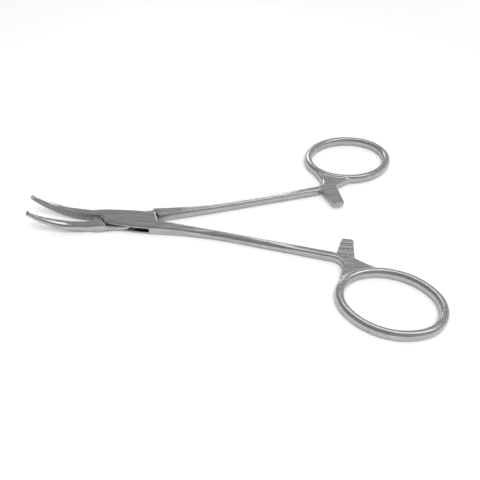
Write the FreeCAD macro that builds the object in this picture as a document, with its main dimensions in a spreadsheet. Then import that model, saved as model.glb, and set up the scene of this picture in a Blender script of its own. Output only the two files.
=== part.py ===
import FreeCAD, Part
import math
import os
import Sketcher
from FreeCAD import Placement, Rotation, Vector

# Curved mosquito artery forceps, 125 mm class, in stainless steel: a box half whose two cheeks
# straddle the thin tang of the male half, turning on a rivet that is pressed in the cheeks.
# Each half is one forging: jaw, joint, shank, ratchet bar and finger ring.
# Each is drawn in the closed state, jaw faces touching, with the pivot axis at the origin,
# the middle plane at z = 0, its jaw on the +Y side of the axis and its shank on the -Y side.
# The male half is the same forging turned over about X, and its jaw bends the other way.

SIZES = (
    # how the halves stand in the rest pose
    ("half_opening", "7.2"),
    # box joint
    ("box_height", "3.0"),
    ("cheek_thickness", "0.85"),
    ("tang_clearance", "0.05"),
    ("shoulder_gap", "0.15"),
    ("box_left_jaw_side", "10.2"),
    ("box_left_shank_side", "6.9"),
    ("box_right_jaw_side", "7.6"),
    ("box_right_crotch", "9.1"),
    ("box_half_width_left", "3.25"),
    ("box_half_width_right", "4.2"),
    ("box_side_radius", "110"),
    ("slot_left", "8.5"),
    ("slot_left_lean", "0.86"),
    ("slot_right", "8.8"),
    ("slot_right_lean", "0.45"),
    ("tang_band_start", "0.9"),
    ("tang_band_half_width", "3.8"),
    ("tang_side_inset", "0.05"),
    ("tang_root_overlap", "1.5"),
    ("tang_root_inset", "0.6"),
    # how far each cutting outline runs past what it cuts
    ("overrun", "2.0"),
    # rivet
    ("rivet_radius", "1.25"),
    ("rivet_running_clearance", "0.03"),
    # shank
    ("waist_x", "31"),
    ("waist_y", "3.85"),
    ("shank_end_x", "63.5"),
    ("shank_end_y", "9.09"),
    ("shank_width", "2.4"),
    ("shank_end_width", "2.9"),
    ("shank_height", "2.3"),
    ("inner_edge_radius", "280"),
    ("outer_edge_radius", "130"),
    ("half_gap", "0.1"),
    ("taper_start_x", "10"),
    ("taper_end_x", "27"),
    ("shank_edge_round", "0.55"),
    # finger ring
    ("ring_start_x", "65.05"),
    ("ring_start_y", "15.0"),
    ("ring_lean", "16.4"),
    ("ring_long_radius", "14.75"),
    ("ring_short_radius", "12.3"),
    ("ring_end_ratio", "0.88"),
    ("ring_wire_width", "2.6"),
    ("ring_wire_height", "3.0"),
    ("ring_wire_round", "1.1"),
    # web between shank, ratchet and ring
    ("web_corner_x", "70.6"),
    ("web_corner_y", "10.2"),
    ("web_neck_x", "66.6"),
    ("web_neck_y", "14.2"),
    ("web_neck_radius", "3.6"),
    ("web_edge_radius", "30"),
    # ratchet
    ("ratchet_reach", "0.2"),
    ("ratchet_base_x", "64.6"),
    ("ratchet_tip_x", "66.9"),
    ("ratchet_back_x", "70.6"),
    ("ratchet_corner_round", "1.0"),
    ("ratchet_clearance", "0.06"),
    ("tooth_pitch", "2.5"),
    ("tooth_depth", "0.5"),
    ("tooth_first", "2.0"),
    ("tooth_count", "3"),
    # jaw
    ("jaw_gap", "0.04"),
    ("jaw_straight", "12"),
    ("jaw_arc_radius", "30"),
    ("jaw_sweep", "37"),
    ("jaw_root_step", "0.12"),
    ("jaw_root_round", "0.7"),
    ("jaw_blade_width", "2.85"),
    ("jaw_blade_height", "2.4"),
    ("jaw_top_round", "0.45"),
    ("jaw_back_round", "0.95"),
    ("jaw_tip_width", "1.3"),
    ("jaw_tip_height", "1.45"),
    ("jaw_tip_round", "0.5"),
    ("jaw_nose_length", "0.45"),
    ("jaw_nose_inset", "0.35"),
    ("serration_pitch", "0.55"),
    ("serration_depth", "0.16"),
    ("serration_land", "0.1"),
    ("serration_start", "9.4"),
)

# How the jaw's loft is divided, and the power of the distance from the root that it tapers by.
JAW_STATIONS = 5
JAW_TAPER = 2
# Angles round the ring at which the web's outline enters the wire, runs in it and leaves it.
WEB_FIRST_ANGLE = 100
WEB_ANGLES = (118, 135, 152, 168)
WEB_LAST_ANGLE = 178
# Lengths in mm below this are taken as none.
TINY = 0.01

doc = FreeCAD.newDocument("hemostat_forceps")
sheet = doc.addObject("Spreadsheet::Sheet", "dims")
for row, (name, text) in enumerate(SIZES, start=1):
    sheet.set(f"A{row}", name)
    sheet.set(f"B{row}", text)
    sheet.setAlias(f"B{row}", name)
doc.recompute()


def rebuild():
    """Recompute the document and stop at the first object that failed."""
    doc.recompute()
    for item in doc.Objects:
        if "Invalid" in item.State or "Error" in item.State:
            raise RuntimeError(f"{item.Name} did not compute: {item.State}")


class Size:
    """A value together with the sheet formula that gives it, so each formula is written once."""

    def __init__(self, value, formula):
        self.value = float(value)
        self.formula = formula

    def __add__(self, other):
        other = as_size(other)
        return Size(self.value + other.value, f"({self.formula} + {other.formula})")

    def __sub__(self, other):
        other = as_size(other)
        return Size(self.value - other.value, f"({self.formula} - {other.formula})")

    def __mul__(self, other):
        other = as_size(other)
        return Size(self.value * other.value, f"({self.formula} * {other.formula})")

    def __truediv__(self, other):
        other = as_size(other)
        return Size(self.value / other.value, f"({self.formula} / {other.formula})")

    def __neg__(self):
        return Size(-self.value, f"(0 - {self.formula})")


def as_size(number):
    """A plain number as a Size."""
    return number if isinstance(number, Size) else Size(number, repr(float(number)))


def size(name):
    """The driving size of that name."""
    return Size(sheet.get(name), f"dims.{name}")


def sine(degrees):
    """Sine of a Size in degrees."""
    return Size(math.sin(math.radians(degrees.value)), f"sin({degrees.formula} * 1 deg)")


def cosine(degrees):
    """Cosine of a Size in degrees."""
    return Size(math.cos(math.radians(degrees.value)), f"cos({degrees.formula} * 1 deg)")


def arctangent(ratio):
    """Arc tangent of a Size, in degrees."""
    return Size(math.degrees(math.atan(ratio.value)), f"(atan({ratio.formula}) / 1 deg)")


def origin_plane(body, role):
    """The body's own origin plane with that role."""
    return [feature for feature in body.Origin.OriginFeatures if feature.Role == role][0]


def new_sketch(body, name, role, shift=(0, 0, 0), turn_axis=(0, 0, 1), turn=0):
    """A sketch on an origin plane, shifted and turned in that plane's own axes."""
    sketch = body.newObject("Sketcher::SketchObject", name)
    sketch.AttachmentSupport = [(origin_plane(body, role), "")]
    sketch.MapMode = "FlatFace"
    shift = [as_size(part) for part in shift]
    turn = as_size(turn)
    base = Vector(shift[0].value, shift[1].value, shift[2].value)
    sketch.AttachmentOffset = Placement(base, Rotation(Vector(*turn_axis), turn.value))
    for axis, part in zip("xyz", shift):
        sketch.setExpression(f"AttachmentOffset.Base.{axis}", part.formula)
    if turn.value:
        sketch.setExpression("AttachmentOffset.Rotation.Angle", turn.formula)
    return sketch


def bind(sketch, constraint, formula):
    """Add a constraint and drive it from the sheet."""
    index = sketch.addConstraint(constraint)
    sketch.setExpression(f"Constraints[{index}]", formula)


def pin_point(sketch, geometry, point, x, y):
    """Hold one end of a line or arc at a place counted from the sketch origin."""
    bind(sketch, Sketcher.Constraint("DistanceX", -1, 1, geometry, point, x.value), x.formula)
    bind(sketch, Sketcher.Constraint("DistanceY", -1, 1, geometry, point, y.value), y.formula)


def arc_between(start, end, radius):
    """Arc that turns anticlockwise from start to end."""
    chord = end - start
    half = chord.Length / 2
    inward = Vector(-chord.y, chord.x, 0).normalize()
    centre = (start + end) * 0.5 + inward * math.sqrt(radius * radius - half * half)
    first = math.atan2(start.y - centre.y, start.x - centre.x)
    last = math.atan2(end.y - centre.y, end.x - centre.x)
    if last < first:
        last += 2 * math.pi
    return Part.ArcOfCircle(Part.Circle(centre, Vector(0, 0, 1), radius), first, last)


def draw_outline(sketch, corners):
    """Closed outline. Each corner is (x, y) or (x, y, radius, side), and the last two make the
    edge that leaves the corner an arc of that radius bulging to that side, "left" or "right"."""
    corners = [[as_size(part) for part in corner[:3]] + list(corner[3:]) for corner in corners]
    points = [Vector(corner[0].value, corner[1].value, 0) for corner in corners]
    edges = []
    for index, corner in enumerate(corners):
        start = points[index]
        end = points[(index + 1) % len(points)]
        if len(corner) == 2:
            edges.append((sketch.addGeometry(Part.LineSegment(start, end)), 1, 2))
            continue
        if corner[3] == "right":
            edges.append((sketch.addGeometry(arc_between(start, end, corner[2].value)), 1, 2))
        else:
            edges.append((sketch.addGeometry(arc_between(end, start, corner[2].value)), 2, 1))
    for index, (geometry, first, last) in enumerate(edges):
        following, start_point, _ = edges[(index + 1) % len(edges)]
        sketch.addConstraint(
            Sketcher.Constraint("Coincident", geometry, last, following, start_point))
    for (geometry, first, last), corner in zip(edges, corners):
        pin_point(sketch, geometry, first, corner[0], corner[1])
        if len(corner) == 4:
            bind(sketch, Sketcher.Constraint("Radius", geometry, corner[2].value),
                 corner[2].formula)


def draw_circle(sketch, radius):
    """A circle about the sketch's origin."""
    circle = sketch.addGeometry(Part.Circle(Vector(0, 0, 0), Vector(0, 0, 1), radius.value))
    sketch.addConstraint(Sketcher.Constraint("Coincident", circle, 3, -1, 1))
    bind(sketch, Sketcher.Constraint("Radius", circle, radius.value), radius.formula)


def new_feature(body, kind, name):
    """A feature of the body. Its faces are left as they are cut: merging them again loses the
    seams where the swept ring meets the web."""
    feature = body.newObject(f"PartDesign::{kind}", name)
    feature.Refine = False
    return feature


def add_pad(body, name, sketch, length, both_ways=False, backward=False):
    """Extrude a sketch by a Size, to both sides of its plane or along its normal."""
    pad = new_feature(body, "Pad", name)
    pad.Profile = sketch
    pad.Length = length.value
    pad.setExpression("Length", length.formula)
    pad.Midplane = both_ways
    pad.Reversed = backward
    return pad


def add_pocket(body, name, sketch, length):
    """Cut a sketch by a Size, half to each side of its plane, and see that it takes material."""
    before = body.Tip.Shape.Volume
    pocket = new_feature(body, "Pocket", name)
    pocket.Profile = sketch
    pocket.Length = length.value
    pocket.setExpression("Length", length.formula)
    pocket.Midplane = True
    rebuild()
    if pocket.Shape.Volume >= before:
        raise RuntimeError(f"{name} takes no material away")
    return pocket


def add_fillet(body, name, base, edges, radius):
    """Round the named edges of the last feature, and see that the shape stays valid."""
    fillet = new_feature(body, "Fillet", name)
    fillet.Base = (base, edges)
    fillet.Radius = radius.value
    fillet.setExpression("Radius", radius.formula)
    rebuild()
    if not fillet.Shape.isValid():
        raise RuntimeError(f"{name} gives no valid shape")
    return fillet


def edges_where(shape, wanted):
    """Names of the edges that pass a test."""
    return [f"Edge{index}" for index, edge in enumerate(shape.Edges, start=1) if wanted(edge)]


half_gap = size("half_gap") / 2
shank_half_width = size("shank_width") / 2
tang_thickness = size("box_height") - size("cheek_thickness") * 2 - size("tang_clearance") * 2
slot_height = size("box_height") - size("cheek_thickness") * 2
box_end_lean = ((size("box_left_jaw_side") - size("box_left_shank_side"))
                / (size("box_half_width_left") * 2))
box_right_lean = ((size("box_right_crotch") - size("box_right_jaw_side"))
                  / (size("box_half_width_right") + half_gap))
ACROSS = size("box_half_width_right") + size("overrun")
THROUGH = size("box_height") + size("overrun") * 2
# The ring keeps its place against the web when either of its radii changes.
RING_X = size("ring_start_x") + size("ring_long_radius")
RING_Y = size("ring_start_y") + size("ring_short_radius")
# The jaw's root stands a little inside the cheek's side, so that the two never coincide.
JAW_ROOT_WIDTH = size("box_half_width_left") - size("jaw_gap") / 2 - size("jaw_root_step")


def ring_point(degrees, outward=0):
    """A place on the ring's centre line, or that far outside it, by its angle round the oval."""
    along = (size("ring_long_radius") + outward) * math.cos(math.radians(degrees))
    across = (size("ring_short_radius") + outward) * math.sin(math.radians(degrees))
    lean = size("ring_lean")
    return (RING_X + along * cosine(lean) + across * sine(lean),
            across * cosine(lean) - along * sine(lean) - RING_Y)


def inside_ring_line(point):
    """Whether a place lies within the ring's centre line."""
    lean = math.radians(size("ring_lean").value)
    right = point.x - RING_X.value
    up = point.y + RING_Y.value
    along = right * math.cos(lean) - up * math.sin(lean)
    across = right * math.sin(lean) + up * math.cos(lean)
    return math.hypot(along / size("ring_long_radius").value,
                      across / size("ring_short_radius").value) < 1


def shank_corners():
    """The shank's two long edges and the web, from the joint's inner edge round to its outer
    edge: inner edge, foot of the ratchet, places in the ring's wire, neck, outer edge.
    It turns square into the wire and out of it, since no rounding holds at an acute corner."""
    inward = size("ring_wire_width") * 3 / 8
    return [
        (size("box_right_crotch"), -half_gap, size("inner_edge_radius"), "left"),
        (size("waist_x"), -(size("waist_y") - shank_half_width)),
        (size("shank_end_x"), -(size("shank_end_y") - shank_half_width)),
        (size("web_corner_x"), -size("web_corner_y"), size("web_edge_radius"), "right"),
        ring_point(WEB_FIRST_ANGLE),
        ring_point(WEB_FIRST_ANGLE, -inward),
        *(ring_point(angle) for angle in WEB_ANGLES),
        ring_point(WEB_LAST_ANGLE, -inward),
        ring_point(WEB_LAST_ANGLE, size("ring_wire_width") / 4),
        (size("web_neck_x"), -size("web_neck_y"), size("web_neck_radius"), "right"),
        (size("shank_end_x"), -(size("shank_end_y") + size("shank_end_width") / 2)),
        (size("waist_x"), -(size("waist_y") + shank_half_width), size("outer_edge_radius"),
         "right"),
    ]


def add_plan(body, corners):
    """The flat part of the forging: its plan at the height of the box, thinned along the shank
    by a cut above and a cut below, with every long edge rounded."""
    plan = new_sketch(body, "plan", "XY_Plane")
    draw_outline(plan, corners)
    add_pad(body, "plan_pad", plan, size("box_height"), both_ways=True)
    rebuild()
    drop = (size("box_height") - size("shank_height")) / 2
    reach = RING_Y + size("ring_long_radius") + size("overrun")
    far_x = RING_X + size("ring_long_radius")
    for side, label in ((1, "top"), (-1, "bottom")):
        face = size("box_height") / 2 * side
        cut = new_sketch(body, f"thin_{label}", "XZ_Plane")
        draw_outline(cut, [
            (size("taper_start_x"), face),
            (size("taper_end_x"), face - drop * side),
            (far_x, face - drop * side),
            (far_x, face + size("overrun") * side),
            (size("taper_start_x"), face + size("overrun") * side),
        ])
        add_pocket(body, f"thinning_{label}", cut, reach * 2)
    last = body.Tip

    def long_edge(edge):
        """An edge of the top or bottom face: it is level with one of them all along."""
        heights = [abs(edge.valueAt(place).z) for place in
                   (edge.FirstParameter, (edge.FirstParameter + edge.LastParameter) / 2,
                    edge.LastParameter)]
        upright = abs(edge.BoundBox.ZLength) > size("shank_height").value / 2
        return (min(heights) > size("shank_height").value / 2 - TINY and not upright
                and not edge_crosses(edge) and not at_crotch(edge)
                and not inside_ring_line(edge.CenterOfMass))

    add_fillet(body, "edge_rounding", last, edges_where(last.Shape, long_edge),
               size("shank_edge_round"))


def at_crotch(edge):
    """Whether an edge is the cheek's end at the crotch, which is left crisp: it faces the other
    half's shank across the joint."""
    middle = edge.CenterOfMass
    return middle.y > 0 and middle.x > size("box_right_jaw_side").value


def edge_crosses(edge):
    """Whether an edge runs straight across the shank, where two stretches of its face meet."""
    return edge.BoundBox.XLength < TINY and edge.CenterOfMass.x > size("box_right_crotch").value


def add_ring(body):
    """The finger ring: a rounded section turned along an oval of four arcs, two round its ends
    and two flatter ones along its sides, each in line with the next where they meet."""
    long_radius = size("ring_long_radius")
    short_radius = size("ring_short_radius")
    end_radius = short_radius * size("ring_end_ratio")
    side_radius = ((long_radius * long_radius + short_radius * short_radius
                    - long_radius * end_radius * 2) / ((short_radius - end_radius) * 2))
    end_sweep = arctangent((side_radius - short_radius) / (long_radius - end_radius)) * 2
    half_width = size("ring_wire_width") / 2
    half_height = size("ring_wire_height") / 2
    rounding = size("ring_wire_round")
    for turns in range(4):
        at_end = turns % 2 == 0
        direction = -size("ring_lean") + turns * 90
        radius = end_radius if at_end else side_radius
        reach = (long_radius if at_end else short_radius) - radius
        sweep = end_sweep if at_end else -end_sweep + 180
        centre_x = RING_X + reach * cosine(direction)
        centre_y = reach * sine(direction) - RING_Y
        section = new_sketch(body, f"ring_section_{turns}", "XZ_Plane", (centre_x, 0, -centre_y),
                             (0, 1, 0), direction)
        inside = radius - half_width
        outside = radius + half_width
        draw_outline(section, [
            (inside + rounding, -half_height),
            (outside - rounding, -half_height, rounding, "right"),
            (outside, -half_height + rounding),
            (outside, half_height - rounding, rounding, "right"),
            (outside - rounding, half_height),
            (inside + rounding, half_height, rounding, "right"),
            (inside, half_height - rounding),
            (inside, -half_height + rounding, rounding, "right"),
        ])
        arc = new_feature(body, "Revolution", f"ring_arc_{turns}")
        arc.Profile = section
        arc.ReferenceAxis = (section, ["V_Axis"])
        arc.Midplane = True
        arc.Angle = sweep.value
        arc.setExpression("Angle", f"{sweep.formula} * 1 deg")
        rebuild()


def add_ratchet(body):
    """The ratchet bar, in the lower half of the shank's height, with saw teeth on its top:
    each has its steep face towards its own shank, so that it holds against opening."""
    floor = -size("shank_height") / 2
    crest = -size("ratchet_clearance") / 2
    tip = size("ratchet_reach")
    back = size("ratchet_back_x")
    rounding = size("ratchet_corner_round")
    root = -(size("web_corner_y") + shank_half_width / 2)
    bar = new_sketch(body, "ratchet_bar", "XY_Plane", (0, 0, floor))
    draw_outline(bar, [
        (size("ratchet_base_x"), root),
        (back, root),
        (back, tip - rounding, rounding, "right"),
        (back - rounding, tip),
        (size("ratchet_tip_x"), tip),
        (size("ratchet_base_x") + shank_half_width / 4, -size("shank_end_y") + shank_half_width),
    ])
    add_pad(body, "ratchet_pad", bar, crest - floor)
    rebuild()
    middle = (size("ratchet_base_x") + back) / 2
    tooth = new_sketch(body, "tooth_gap", "YZ_Plane", (0, 0, middle))
    wall = -size("tooth_first")
    draw_outline(tooth, [
        (wall, crest),
        (wall - size("tooth_pitch"), crest),
        (wall, crest - size("tooth_depth")),
    ])
    gap = add_pocket(body, "tooth_cut", tooth, back - size("ratchet_base_x") + rounding / 2)
    teeth = new_feature(body, "LinearPattern", "teeth")
    teeth.Originals = [gap]
    teeth.Direction = (tooth, ["H_Axis"])
    teeth.Reversed = True
    teeth.Length = (size("tooth_pitch") * (size("tooth_count") - 1)).value
    teeth.setExpression("Length", (size("tooth_pitch") * (size("tooth_count") - 1)).formula)
    teeth.Occurrences = int(size("tooth_count").value)
    teeth.setExpression("Occurrences", size("tooth_count").formula)
    body.Tip = teeth
    rebuild()


def jaw_section(body, name, place, form, bend, past=0):
    """One section of the jaw, across its centre line: flat inner face, flat top on the side that
    the jaw bends to, round back. form is its width, its height and the rounding of its top and
    of its back; place is the angle along the arc; past is how far beyond it, straight on."""
    width, height, top_round, back_round = form
    inner = size("jaw_gap") / 2
    radius = size("jaw_arc_radius")
    along = -(size("jaw_straight") + radius * sine(place) + cosine(place) * past)
    rise = (radius - radius * cosine(place) + sine(place) * past) * bend
    section = new_sketch(body, name, "YZ_Plane", (0, rise, along), (bend, 0, 0), place)
    low_round, high_round = (back_round, top_round) if bend > 0 else (top_round, back_round)
    draw_outline(section, [
        (inner, -height / 2),
        (inner + width - low_round, -height / 2, low_round, "right"),
        (inner + width, -height / 2 + low_round),
        (inner + width, height / 2 - high_round, high_round, "right"),
        (inner + width - high_round, height / 2),
        (inner, height / 2),
    ])
    return section


def jaw_form(fraction):
    """Width, height and roundings of the jaw's blade at a fraction of its arc: they shrink with
    a power of it, so that the blade keeps its strength until near the tip."""
    def between(blade, tip):
        return size(blade) + (size(tip) - size(blade)) * fraction ** JAW_TAPER
    return (between("jaw_blade_width", "jaw_tip_width"),
            between("jaw_blade_height", "jaw_tip_height"),
            between("jaw_top_round", "jaw_tip_round"),
            between("jaw_back_round", "jaw_tip_round"))


def add_loft(body, name, sections, straight_sided):
    """A loft through sections, in order."""
    loft = new_feature(body, "AdditiveLoft", name)
    loft.Profile = sections[0]
    loft.Sections = sections[1:]
    loft.Ruled = straight_sided
    rebuild()


def add_jaw(body, bend):
    """The jaw: a root as high as the box, thinned to the blade over a straight stretch, then an
    arc out of the plane of the rings that tapers more and more, and a blunt nose.
    bend is +1 where it rises in the body's own frame and -1 where it falls."""
    root_round = size("jaw_root_round")
    root_form = (JAW_ROOT_WIDTH, size("box_height"), root_round, root_round)
    straight = as_size(0)
    back_to_root = size("box_left_jaw_side") - size("jaw_straight")
    root = jaw_section(body, "jaw_root_section", straight, root_form, bend, back_to_root)
    root_end = size("box_left_shank_side") - size("shoulder_gap")
    add_pad(body, "jaw_root", root, size("box_left_jaw_side") - root_end)
    rebuild()
    add_loft(body, "jaw_thinning", [
        jaw_section(body, "jaw_root_end", straight, root_form, bend, back_to_root),
        jaw_section(body, "jaw_blade_start", straight, jaw_form(0), bend),
    ], True)
    sections = []
    for station in range(JAW_STATIONS + 1):
        fraction = station / JAW_STATIONS
        sections.append(jaw_section(body, f"jaw_section_{station}", size("jaw_sweep") * fraction,
                                    jaw_form(fraction), bend))
    add_loft(body, "jaw", sections, False)
    inset = size("jaw_nose_inset")
    width, height, top_round, back_round = jaw_form(1)
    nose_form = (width - inset, height - inset * 2, top_round - inset / 2, back_round - inset / 2)
    add_loft(body, "jaw_nose", [
        jaw_section(body, "jaw_nose_root", size("jaw_sweep"), jaw_form(1), bend),
        jaw_section(body, "jaw_nose_end", size("jaw_sweep"), nose_form, bend,
                    size("jaw_nose_length")),
    ], True)


def add_serrations(body, bend):
    """Transverse V grooves over the whole inner face: a row along the straight root and a fan
    about the centre of the jaw's arc."""
    pitch = size("serration_pitch")
    inner = size("jaw_gap") / 2
    radius = size("jaw_arc_radius")
    first = -size("jaw_straight")
    groove = new_sketch(body, "groove", "XY_Plane")
    depth = size("serration_depth")
    half_mouth = (pitch - size("serration_land")) / 2
    draw_outline(groove, [
        (first - half_mouth * 2, inner - depth),
        (first + half_mouth * 2, inner - depth),
        (first, inner + depth),
    ])
    cut = add_pocket(body, "groove_cut", groove, THROUGH)
    row = new_feature(body, "LinearPattern", "groove_row")
    row.Originals = [cut]
    row.Direction = (groove, ["H_Axis"])
    count = int((size("jaw_straight").value - size("serration_start").value) / pitch.value) + 1
    row.Length = pitch.value * (count - 1)
    row.Occurrences = count
    body.Tip = row
    rebuild()
    fan_axis = new_sketch(body, "jaw_centre_line", "XZ_Plane", (first, radius * bend, 0))
    draw_circle(fan_axis, radius)
    fan = new_feature(body, "PolarPattern", "groove_fan")
    fan.Originals = [cut]
    fan.Axis = (fan_axis, ["N_Axis"])
    step = math.degrees(pitch.value / radius.value)
    count = int(size("jaw_sweep").value / step)
    fan.Angle = step * (count - 1)
    fan.Occurrences = count
    fan.Reversed = bend > 0
    body.Tip = fan
    rebuild()


def add_box(body):
    """The slot for the tang, open at both sides, and the rivet hole through both cheeks."""
    slot = new_sketch(body, "slot", "XY_Plane")
    left = size("slot_left")
    right = size("slot_right")
    draw_outline(slot, [
        (-left, 0),
        (-(left + ACROSS), 0),
        (-(left + ACROSS), -ACROSS),
        (right - ACROSS * size("slot_right_lean"), -ACROSS),
        (right + half_gap * size("slot_right_lean"), half_gap),
        (right + ACROSS, half_gap),
        (right + ACROSS, ACROSS),
        (-left + ACROSS * size("slot_left_lean"), ACROSS),
    ])
    add_pocket(body, "slot_cut", slot, slot_height)
    add_pivot_hole(body, size("rivet_radius"))


def add_pivot_hole(body, radius):
    """A round hole on the pivot axis."""
    circle = new_sketch(body, "pivot_circle", "XY_Plane")
    draw_circle(circle, radius)
    add_pocket(body, "pivot_hole", circle, THROUGH)


def add_tang(body):
    """The shoulders that the cheek ends face, and the thin tang between them."""
    gap = size("shoulder_gap")
    left_middle = (size("box_left_jaw_side") + size("box_left_shank_side")) / 2 + gap
    right_crotch = size("box_right_crotch") + gap
    opening = new_sketch(body, "shoulders", "XY_Plane")
    draw_outline(opening, [
        (-left_middle + ACROSS * box_end_lean, ACROSS),
        (-left_middle - ACROSS * box_end_lean, -ACROSS),
        (right_crotch + (half_gap - ACROSS) * box_right_lean, -ACROSS),
        (right_crotch + (half_gap + ACROSS) * box_right_lean, ACROSS),
    ])
    add_pocket(body, "shoulder_cut", opening, THROUGH)
    tang = new_sketch(body, "tang_outline", "XY_Plane")
    start = size("tang_band_start")
    inner = size("jaw_gap") / 2
    width = size("tang_band_half_width")
    side = size("box_half_width_right") - size("tang_side_inset")
    overlap = size("tang_root_overlap")
    inset = size("tang_root_inset")
    jaw_side = JAW_ROOT_WIDTH + inner
    draw_outline(tang, [
        (-(left_middle + overlap), inner),
        (-(size("slot_left") - gap * 2), inner),
        (start, -width),
        (right_crotch - size("box_half_width_right") * box_right_lean, -side),
        (right_crotch + overlap, -side + inset),
        (right_crotch + overlap, -half_gap - inset),
        (size("slot_right") - gap * 2, -half_gap),
        (-start, width),
        (-size("box_left_shank_side"), jaw_side - size("tang_side_inset")),
        (-(left_middle + overlap), jaw_side - inset),
    ])
    add_pad(body, "tang", tang, tang_thickness, both_ways=True)
    rebuild()
    add_pivot_hole(body, size("rivet_radius") + size("rivet_running_clearance"))


def box_corners():
    """Plan of the cheeks, from the crotch back round the jaw end to the far end."""
    return [
        (size("box_right_jaw_side"), -size("box_half_width_right"), size("box_side_radius"),
         "left"),
        (-size("box_left_shank_side"), -size("box_half_width_left")),
        (-size("box_left_jaw_side"), size("box_half_width_left"),
         size("box_side_radius"), "left"),
        (size("box_right_jaw_side"), size("box_half_width_right")),
    ]


def root_corners():
    """Plan of the male half's shank root, which the shoulder cut then ends."""
    return [
        (size("box_right_jaw_side"), -size("box_half_width_right")),
        (size("box_right_jaw_side") - size("overrun"), -size("box_half_width_right")),
        (size("box_right_jaw_side") - size("overrun"), -half_gap),
    ]


def make_female_half():
    body = doc.addObject("PartDesign::Body", "female_half")
    add_plan(body, shank_corners() + box_corners())
    add_ratchet(body)
    add_ring(body)
    add_jaw(body, 1)
    add_box(body)
    add_serrations(body, 1)
    return body


def make_male_half():
    body = doc.addObject("PartDesign::Body", "male_half")
    add_plan(body, shank_corners() + root_corners())
    add_ratchet(body)
    add_ring(body)
    add_jaw(body, -1)
    add_tang(body)
    add_serrations(body, -1)
    return body


def make_rivet():
    """The pivot rivet, pressed in the cheeks and ground flush with both."""
    body = doc.addObject("PartDesign::Body", "pivot_rivet")
    circle = new_sketch(body, "rivet_circle", "XY_Plane")
    draw_circle(circle, size("rivet_radius"))
    add_pad(body, "rivet", circle, size("box_height"), both_ways=True)
    rebuild()
    return body


female_half = make_female_half()
male_half = make_male_half()
pivot_rivet = make_rivet()

# The rest pose: lying on its underside, half open, the box half's shank towards -Y.
rest_height = size("box_height").value / 2
opening = size("half_opening").value
female_half.Placement = Placement(Vector(0, 0, rest_height), Rotation(Vector(0, 0, 1), -opening))
male_half.Placement = Placement(Vector(0, 0, rest_height),
                                Rotation(Vector(0, 0, 1), opening) * Rotation(Vector(1, 0, 0), 180))
pivot_rivet.Placement = Placement(Vector(0, 0, rest_height), Rotation(Vector(0, 0, 1), -opening))
rebuild()

nodes = (female_half, male_half, pivot_rivet)
for node in nodes:
    if node.Shape.isNull() or not node.Shape.isValid():
        raise RuntimeError(f"{node.Name} has no valid shape")
    print(node.Name, round(node.Shape.Volume, 2), len(node.Shape.Solids), node.Shape.BoundBox)

os.makedirs("parts", exist_ok=True)
for node in nodes:
    node.Label = node.Name
    node.Shape.exportStep(f"parts/{node.Label}.step")
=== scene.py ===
import math
import bmesh
import bpy
import numpy as np
from mathutils import Matrix, Vector


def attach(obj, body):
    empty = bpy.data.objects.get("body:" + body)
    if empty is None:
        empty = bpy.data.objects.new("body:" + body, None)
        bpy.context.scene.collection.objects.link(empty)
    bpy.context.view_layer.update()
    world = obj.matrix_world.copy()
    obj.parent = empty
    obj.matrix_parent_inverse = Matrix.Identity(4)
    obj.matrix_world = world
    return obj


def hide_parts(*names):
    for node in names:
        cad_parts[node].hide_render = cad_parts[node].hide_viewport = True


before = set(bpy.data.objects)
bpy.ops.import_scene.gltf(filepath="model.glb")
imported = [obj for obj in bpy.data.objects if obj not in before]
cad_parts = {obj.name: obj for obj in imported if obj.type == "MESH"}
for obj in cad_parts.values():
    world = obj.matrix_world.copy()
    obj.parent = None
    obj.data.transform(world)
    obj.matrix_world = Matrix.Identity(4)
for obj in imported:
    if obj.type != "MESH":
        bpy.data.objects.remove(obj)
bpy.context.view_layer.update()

# Box half, behind its jaw
# One drop forging: cheeks, shank, ratchet bar and finger ring, with the rivet pressed in and
# ground over so that its ends don't show. Satin stainless, brushed along its length, with
# every edge broken by tumbling.
STEEL_DARK = "#A2A3A3"
STEEL_LIGHT = "#B7B8B8"
STEEL_ROUGHNESS = (0.15, 0.23)
STREAK_SCALE = 1100.0
STREAK_STRETCH = 0.16
TONE_SPREAD = (0.32, 0.68)
POLISH_SPREAD = (0.3, 0.7)
GRAIN_SCALE = 2600.0
GRAIN_DEPTH = 0.0000025
HALF_OPENING = math.radians(7.2)
SEAM = 0.0112
SEAM_OVERLAP = 0.0002
WELD_DISTANCE = 1e-7
FORGING_VOXEL = 0.00017
FORGING_POLISH = 10
UNDERCUT_DEPTH = 0.00042
UNDERCUT_HEIGHT = 0.0014
UNDERCUT_FROM = 0.012
UNDERCUT_RUN = 0.006
SHANK_ROUNDING = 0.86
SHANK_SPAN = (0.010, 0.060)
SHANK_RUN = 0.018
SHANK_STATION = 0.0005
SHANK_CURVE_DEGREE = 6


def linear(code):
    """sRGB hex code as linear RGBA."""
    parts = [int(code[i:i + 2], 16) / 255 for i in (1, 3, 5)]
    return [c / 12.92 if c <= 0.04045 else ((c + 0.055) / 1.055) ** 2.4 for c in parts] + [1.0]


def node(tree, kind, values=(), links=(), **settings):
    """Adds a node, with its settings, its input values and its links from other sockets."""
    made = tree.nodes.new(kind)
    for key, value in settings.items():
        setattr(made, key, value)
    for key, value in dict(values).items():
        made.inputs[key].default_value = value
    for key, source in dict(links).items():
        tree.links.new(source, made.inputs[key])
    return made


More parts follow.
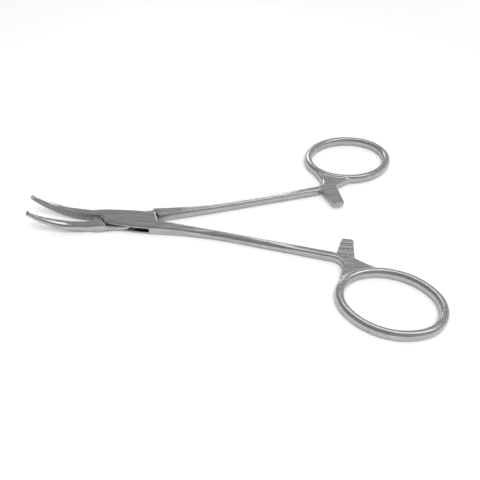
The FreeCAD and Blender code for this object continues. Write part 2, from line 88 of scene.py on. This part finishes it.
def brushed_steel(name, roughness, grain_depth):
    """Stainless steel brushed along the instrument: long soft streaks give the flats their
    uneven grey, and a fine grain along them breaks the highlights on the round sides."""
    material = bpy.data.materials.new(name)
    material.use_nodes = True
    tree = material.node_tree
    shader = tree.nodes["Principled BSDF"]
    shader.inputs["Metallic"].default_value = 1.0
    place = node(tree, "ShaderNodeTexCoord")
    along = node(tree, "ShaderNodeMapping", {"Scale": (STREAK_STRETCH, 1.0, 1.0)},
                 {"Vector": place.outputs["Object"]})
    streaks = node(tree, "ShaderNodeTexNoise",
                   {"Scale": STREAK_SCALE, "Detail": 5.0, "Roughness": 0.6},
                   {"Vector": along.outputs["Vector"]})
    grain = node(tree, "ShaderNodeTexNoise",
                 {"Scale": GRAIN_SCALE, "Detail": 3.0, "Roughness": 0.7},
                 {"Vector": along.outputs["Vector"]})
    tone = node(tree, "ShaderNodeValToRGB", links={"Fac": streaks.outputs["Fac"]})
    tone.color_ramp.elements[0].position = TONE_SPREAD[0]
    tone.color_ramp.elements[0].color = linear(STEEL_DARK)
    tone.color_ramp.elements[1].position = TONE_SPREAD[1]
    tone.color_ramp.elements[1].color = linear(STEEL_LIGHT)
    polish = node(tree, "ShaderNodeMapRange",
                  {"From Min": POLISH_SPREAD[0], "From Max": POLISH_SPREAD[1],
                   "To Min": roughness[0], "To Max": roughness[1]},
                  {"Value": streaks.outputs["Fac"]})
    bump = node(tree, "ShaderNodeBump", {"Strength": 0.5, "Distance": grain_depth},
                {"Height": grain.outputs["Fac"]})
    tree.links.new(tone.outputs["Color"], shader.inputs["Base Color"])
    tree.links.new(polish.outputs["Result"], shader.inputs["Roughness"])
    tree.links.new(bump.outputs["Normal"], shader.inputs["Normal"])
    return material


def skin(name, node_names, body, side, keep_jaw, material, voxel, polish):
    """A smooth skin over one half's solids on one side of the seam in its jaw's root. side is
    +1 for the half whose jaw is on the +Y side. The cut is closed, and the two skins of a half
    run a little past it into each other, so that no seam shows."""
    build = bmesh.new()
    for node_name in node_names:
        build.from_mesh(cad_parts[node_name].data)
    bmesh.ops.remove_doubles(build, verts=build.verts, dist=WELD_DISTANCE)
    jaw_way = Vector((-math.cos(HALF_OPENING), side * math.sin(HALF_OPENING), 0))
    reach = SEAM - SEAM_OVERLAP if keep_jaw else SEAM + SEAM_OVERLAP
    bmesh.ops.bisect_plane(build, geom=build.verts[:] + build.edges[:] + build.faces[:],
                           plane_co=jaw_way * reach, plane_no=jaw_way,
                           clear_inner=keep_jaw, clear_outer=not keep_jaw)
    rim = [edge for edge in build.edges if edge.is_boundary]
    bmesh.ops.holes_fill(build, edges=rim, sides=0)
    mesh = bpy.data.meshes.new(name)
    build.to_mesh(mesh)
    build.free()
    mesh.materials.append(material)
    piece = bpy.data.objects.new(name, mesh)
    bpy.context.scene.collection.objects.link(piece)
    remesh = piece.modifiers.new("skin", "REMESH")
    remesh.mode = "VOXEL"
    remesh.voxel_size = voxel
    remesh.use_smooth_shade = True
    smooth = piece.modifiers.new("polish", "SMOOTH")
    smooth.factor = 0.5
    smooth.iterations = polish
    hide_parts(*node_names)
    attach(piece, body)
    return piece


def settle(piece):
    """Applies a piece's modifiers, and returns its points and their normals as arrays."""
    bpy.context.view_layer.update()
    whole = piece.evaluated_get(bpy.context.evaluated_depsgraph_get())
    piece.data = bpy.data.meshes.new_from_object(whole)
    piece.modifiers.clear()
    points = np.empty(len(piece.data.vertices) * 3)
    normals = np.empty(points.size)
    piece.data.vertices.foreach_get("co", points)
    piece.data.vertices.foreach_get("normal", normals)
    return points.reshape(-1, 3), normals.reshape(-1, 3)


def round_edges(piece, side):
    """Rounds the edges that the forging dies leave blunt. The shank's outer edge is brought down
    on the box half, and up on the tang half, which lies turned over: from 0 at the shank's inner
    side to 1 at its outer side, heights from its middle on that face are scaled by the square
    root of 1 - (rounding * across) squared. Below a given height, shank and ring are then drawn
    in along the wall's level normal, by an amount that grows as the square of the depth."""
    points, normals = settle(piece)
    first, last = SHANK_SPAN
    station = ((points[:, 0] - first) / SHANK_STATION).astype(int)
    count = int((last - first) / SHANK_STATION)
    on_shank = (points[:, 0] > first) & (station < count)
    shank = points[on_shank]
    station = station[on_shank]
    away = np.abs(shank[:, 1])
    places = first + (np.arange(count) + 0.5) * SHANK_STATION
    outline = []
    for values, gather, start in ((away, np.minimum, 1.0), (away, np.maximum, 0.0),
                                  (shank[:, 2], np.minimum, 1.0), (shank[:, 2], np.maximum, 0.0)):
        line = np.full(count, start)
        gather.at(line, station, values)
        curve = np.polyfit(places, line, SHANK_CURVE_DEGREE)
        outline.append(np.polyval(curve, shank[:, 0]))
    inner, outer, bottom, top = outline
    across = np.clip((away - inner) / (outer - inner), 0.0, 1.0)
    ends = np.minimum(shank[:, 0] - first, last - shank[:, 0])
    fade = np.clip(ends / SHANK_RUN, 0.0, 1.0)
    middle = (bottom + top) / 2
    height = shank[:, 2] - middle
    scale = np.sqrt(1 - (SHANK_ROUNDING * across * fade * fade * (3 - 2 * fade)) ** 2)
    shank[:, 2] = middle + np.where(height * side > 0, height * scale, height)
    points[on_shank] = shank
    below = np.clip(1 - points[:, 2] / UNDERCUT_HEIGHT, 0.0, 1.0)
    fade = np.clip((points[:, 0] - UNDERCUT_FROM) / UNDERCUT_RUN, 0.0, 1.0)
    points[:, :2] -= normals[:, :2] * (UNDERCUT_DEPTH * below ** 2 * fade)[:, None]
    piece.data.vertices.foreach_set("co", points.ravel())
    piece.data.update()


satin = brushed_steel("satin_stainless_brushed", STEEL_ROUGHNESS, GRAIN_DEPTH)
round_edges(skin("box_half_forging", ("female_half", "pivot_rivet"), "box_half", 1, False, satin,
                 FORGING_VOXEL, FORGING_POLISH), 1)

# Tang half, behind its jaw
# The same forging turned over, with the thin tang that turns between the cheeks. It is the same
# satin stainless, brushed along its length.
round_edges(skin("tang_half_forging", ("male_half",), "male_half", -1, False, satin,
                 FORGING_VOXEL, FORGING_POLISH), -1)

# Jaws
# Ground half-round at the back and polished brighter than the rest, with transverse serrations
# cut square in the inner face. Their skin is finer and keeps the crests, and the groove floors
# are painted darker than the crests as painted shade.
JAW_ROUGHNESS = (0.12, 0.20)
JAW_GRAIN_DEPTH = 0.000003
JAW_VOXEL = 0.000052
JAW_POLISH = 2
BACK_ROUNDING = 0.88
ROUNDING_RUN_ABOVE = 0.009
ROUNDING_RUN_BELOW = 0.0016
JAW_STATION = 0.0002
BRIGHT_CREST = 0.00003
GROOVE_DEPTH = 0.00012
GROOVE_FACING = 0.5
# Base colour at the groove floors: painted shade in the serrations.
GROOVE_PAINTED_SHADE = "#484846"


def round_back(piece, side):
    """Grinds a jaw's back half-round. Across the jaw, from 0 at its inner face to 1 at its back,
    each height from the jaw's middle line is scaled by the square root of 1 - (rounding *
    across) cubed, an oval with a flat top. The rounding grows from nothing at the seam, slower
    above the middle line than below it. A point's depth in its groove, from 0 to 1, is kept as
    an attribute."""
    points, facing = settle(piece)
    along = points @ (-math.cos(HALF_OPENING), side * math.sin(HALF_OPENING), 0.0)
    outward = (math.sin(HALF_OPENING), side * math.cos(HALF_OPENING), 0.0)
    across = points @ outward
    depth = np.clip((across - BRIGHT_CREST) / GROOVE_DEPTH, 0.0, 1.0)
    depth[facing @ outward > -GROOVE_FACING] = 0.0
    grooves = piece.data.attributes.new("groove_depth", "FLOAT", "POINT")
    grooves.data.foreach_set("value", depth)
    station = ((along - along.min()) / JAW_STATION).astype(int)
    back = np.zeros(station.max() + 1)
    np.maximum.at(back, station, across)
    top = np.full(len(back), -1.0)
    bottom = np.full(len(back), 1.0)
    np.maximum.at(top, station, points[:, 2])
    np.minimum.at(bottom, station, points[:, 2])
    places = along.min() + (np.arange(len(back)) + 0.5) * JAW_STATION
    share = np.clip(across / np.interp(along, places, back), 0.0, 1.0)
    middle = np.interp(along, places, (top + bottom) / 2)
    reach = np.where(points[:, 2] > middle, ROUNDING_RUN_ABOVE, ROUNDING_RUN_BELOW)
    run = np.clip((along - SEAM) / reach, 0.0, 1.0)
    rounding = BACK_ROUNDING * share * run * run * (3 - 2 * run)
    points[:, 2] = middle + (points[:, 2] - middle) * np.sqrt(1 - rounding ** 3)
    piece.data.vertices.foreach_set("co", points.ravel())
    piece.data.update()


polished = brushed_steel("polished_stainless_jaws", JAW_ROUGHNESS, JAW_GRAIN_DEPTH)
tree = polished.node_tree
shader = tree.nodes["Principled BSDF"]
groove = node(tree, "ShaderNodeAttribute", attribute_name="groove_depth")
tone = shader.inputs["Base Color"].links[0].from_socket
# Darkens the base colour towards the groove floors by their depth: painted shade in the
# serrations.
groove_shade = node(tree, "ShaderNodeMix", data_type="RGBA")
groove_shade.inputs[7].default_value = linear(GROOVE_PAINTED_SHADE)
tree.links.new(groove.outputs["Fac"], groove_shade.inputs[0])
tree.links.new(tone, groove_shade.inputs[6])
tree.links.new(groove_shade.outputs[2], shader.inputs["Base Color"])
round_back(skin("box_half_jaw", ("female_half",), "box_half", 1, True, polished, JAW_VOXEL,
                JAW_POLISH), 1)
round_back(skin("tang_half_jaw", ("male_half",), "male_half", -1, True, polished, JAW_VOXEL,
                JAW_POLISH), -1)

# Floor
# Matt white paper. It is lit where the instrument lies, which keeps the soft shadow under it,
# and turns plain white to the camera further out, past the reach of the lamps.
FLOOR_COLOUR = "#FAFAFA"
FLOOR_REACH = 3.0
PAPER_ROUGHNESS = 0.9
PLAIN_SHARE = (0.05, 1.0)
PLAIN_FROM = (0.13, 0.32)
floor_mesh = bpy.data.meshes.new("floor")
corners = [(-1, -1), (1, -1), (1, 1), (-1, 1)]
floor_mesh.from_pydata([(x * FLOOR_REACH, y * FLOOR_REACH, 0) for x, y in corners], [],
                       [(0, 1, 2, 3)])
floor = bpy.data.objects.new("floor", floor_mesh)
bpy.context.scene.collection.objects.link(floor)
paper = bpy.data.materials.new("white_paper")
paper.use_nodes = True
tree = paper.node_tree
shader = tree.nodes["Principled BSDF"]
shader.inputs["Base Color"].default_value = linear(FLOOR_COLOUR)
shader.inputs["Roughness"].default_value = PAPER_ROUGHNESS
shader.inputs["Specular IOR Level"].default_value = 0.0
white = node(tree, "ShaderNodeEmission", {"Color": (1, 1, 1, 1), "Strength": 1.0})
rays = node(tree, "ShaderNodeLightPath")
spot = node(tree, "ShaderNodeTexCoord")
distance = node(tree, "ShaderNodeVectorMath", links={0: spot.outputs["Object"]},
                operation="LENGTH")
plain = node(tree, "ShaderNodeMapRange",
             {"From Min": PLAIN_FROM[0], "From Max": PLAIN_FROM[1], "To Min": PLAIN_SHARE[0],
              "To Max": PLAIN_SHARE[1]}, {"Value": distance.outputs["Value"]})
share = node(tree, "ShaderNodeMath", operation="MULTIPLY",
             links={0: rays.outputs["Is Camera Ray"], 1: plain.outputs["Result"]})
seen = node(tree, "ShaderNodeMixShader",
            links={0: share.outputs[0], 1: shader.outputs["BSDF"], 2: white.outputs["Emission"]})
tree.links.new(seen.outputs[0], tree.nodes["Material Output"].inputs["Surface"])
floor_mesh.materials.append(paper)

# Studio light
# A pale tent, brighter to the right than to the left, is what the steel mirrors. A long bar high
# on the right gives the rings their highlights, and a small card low behind the shanks whitens
# the jaws. The key above the camera isn't mirrored: it lights the floor and makes the shadow.
TENT_TONES = ((0.0, "#F2F2F1"), (0.15, "#D6D6D4"), (0.35, "#CACAC8"), (0.64, "#B6B6B4"),
              (0.86, "#BABAB8"), (1.0, "#B6B6B4"))
TENT_LEAN = (0.30, 0.12, 0.0)
TENT_LIGHT = 0.50
SOFT_BOXES = (("key", (0.05, -0.36, 0.58), 0.42, 0.42, 3.4, False),
              ("bar", (0.27, 0.27, 0.587), 0.55, 0.18, 0.60, True),
              ("card", (0.048, 0.170, 0.088), 0.060, 0.036, 0.0215, True))
world = bpy.data.worlds.new("studio")
bpy.context.scene.world = world
world.use_nodes = True
tree = world.node_tree
tent_light = tree.nodes["Background"]
tent_light.inputs["Color"].default_value = (1, 1, 1, 1)
tent_light.inputs["Strength"].default_value = TENT_LIGHT
way = node(tree, "ShaderNodeTexCoord")
height = node(tree, "ShaderNodeSeparateXYZ", links={"Vector": way.outputs["Generated"]})
tones = node(tree, "ShaderNodeValToRGB", links={"Fac": height.outputs["Z"]})
ramp = tones.color_ramp
for place, _ in TENT_TONES[1:-1]:
    ramp.elements.new(place)
for element, (place, code) in zip(ramp.elements, TENT_TONES):
    element.position = place
    element.color = linear(code)
lean = node(tree, "ShaderNodeVectorMath", {1: TENT_LEAN}, {0: way.outputs["Generated"]},
            operation="DOT_PRODUCT")
strength = node(tree, "ShaderNodeMath", {1: 1.0}, {0: lean.outputs["Value"]}, operation="ADD")
mirrored = node(tree, "ShaderNodeBackground",
                links={"Color": tones.outputs["Color"], "Strength": strength.outputs[0]})
backdrop = node(tree, "ShaderNodeBackground", {"Color": (1, 1, 1, 1), "Strength": 1.0})
rays = node(tree, "ShaderNodeLightPath")
lit = node(tree, "ShaderNodeMixShader",
           links={0: rays.outputs["Is Glossy Ray"], 1: tent_light.outputs[0],
                  2: mirrored.outputs[0]})
shown = node(tree, "ShaderNodeMixShader",
             links={0: rays.outputs["Is Camera Ray"], 1: lit.outputs[0], 2: backdrop.outputs[0]})
tree.links.new(shown.outputs[0], tree.nodes["World Output"].inputs["Surface"])
for name, place, width, depth, power, in_mirror in SOFT_BOXES:
    lamp = bpy.data.lights.new(name, "AREA")
    lamp.shape = "RECTANGLE"
    lamp.size = width
    lamp.size_y = depth
    lamp.energy = power
    soft_box = bpy.data.objects.new(name, lamp)
    bpy.context.scene.collection.objects.link(soft_box)
    soft_box.location = place
    soft_box.rotation_euler = (-Vector(place)).to_track_quat("-Z", "Y").to_euler()
    soft_box.visible_camera = False
    soft_box.visible_glossy = in_mirror

# Camera
# The photograph's view: from the -Y side, 39 degrees up, with the rings on the right. It is one
# fit of several, and the others that left the elevation free gave 34 to 52 degrees.
AZIMUTH, ELEVATION, ROLL = (math.radians(a) for a in (-4.782, 39.089, 3.154))
TARGET = Vector((0.034678, -0.007510, 0.0))
DISTANCE = 0.217214
FOCAL_PIXELS = 698.534
PICTURE = 480
SENSOR = 36.0
back = Vector((math.sin(AZIMUTH) * math.cos(ELEVATION), -math.cos(AZIMUTH) * math.cos(ELEVATION),
               math.sin(ELEVATION)))
level = Vector((math.cos(AZIMUTH), math.sin(AZIMUTH), 0))
upright = back.cross(level)
right = level * math.cos(ROLL) + upright * math.sin(ROLL)
up = upright * math.cos(ROLL) - level * math.sin(ROLL)
camera_data = bpy.data.cameras.new("camera")
camera_data.sensor_width = SENSOR
camera_data.lens = FOCAL_PIXELS * SENSOR / PICTURE
camera_data.clip_start = 0.01
camera_data.clip_end = 10
camera = bpy.data.objects.new("camera", camera_data)
bpy.context.scene.collection.objects.link(camera)
camera.matrix_world = Matrix.Translation(TARGET + back * DISTANCE) @ Matrix(
    (right, up, back)).transposed().to_4x4()
bpy.context.scene.camera = camera
bpy.context.scene.view_settings.view_transform = "Standard"
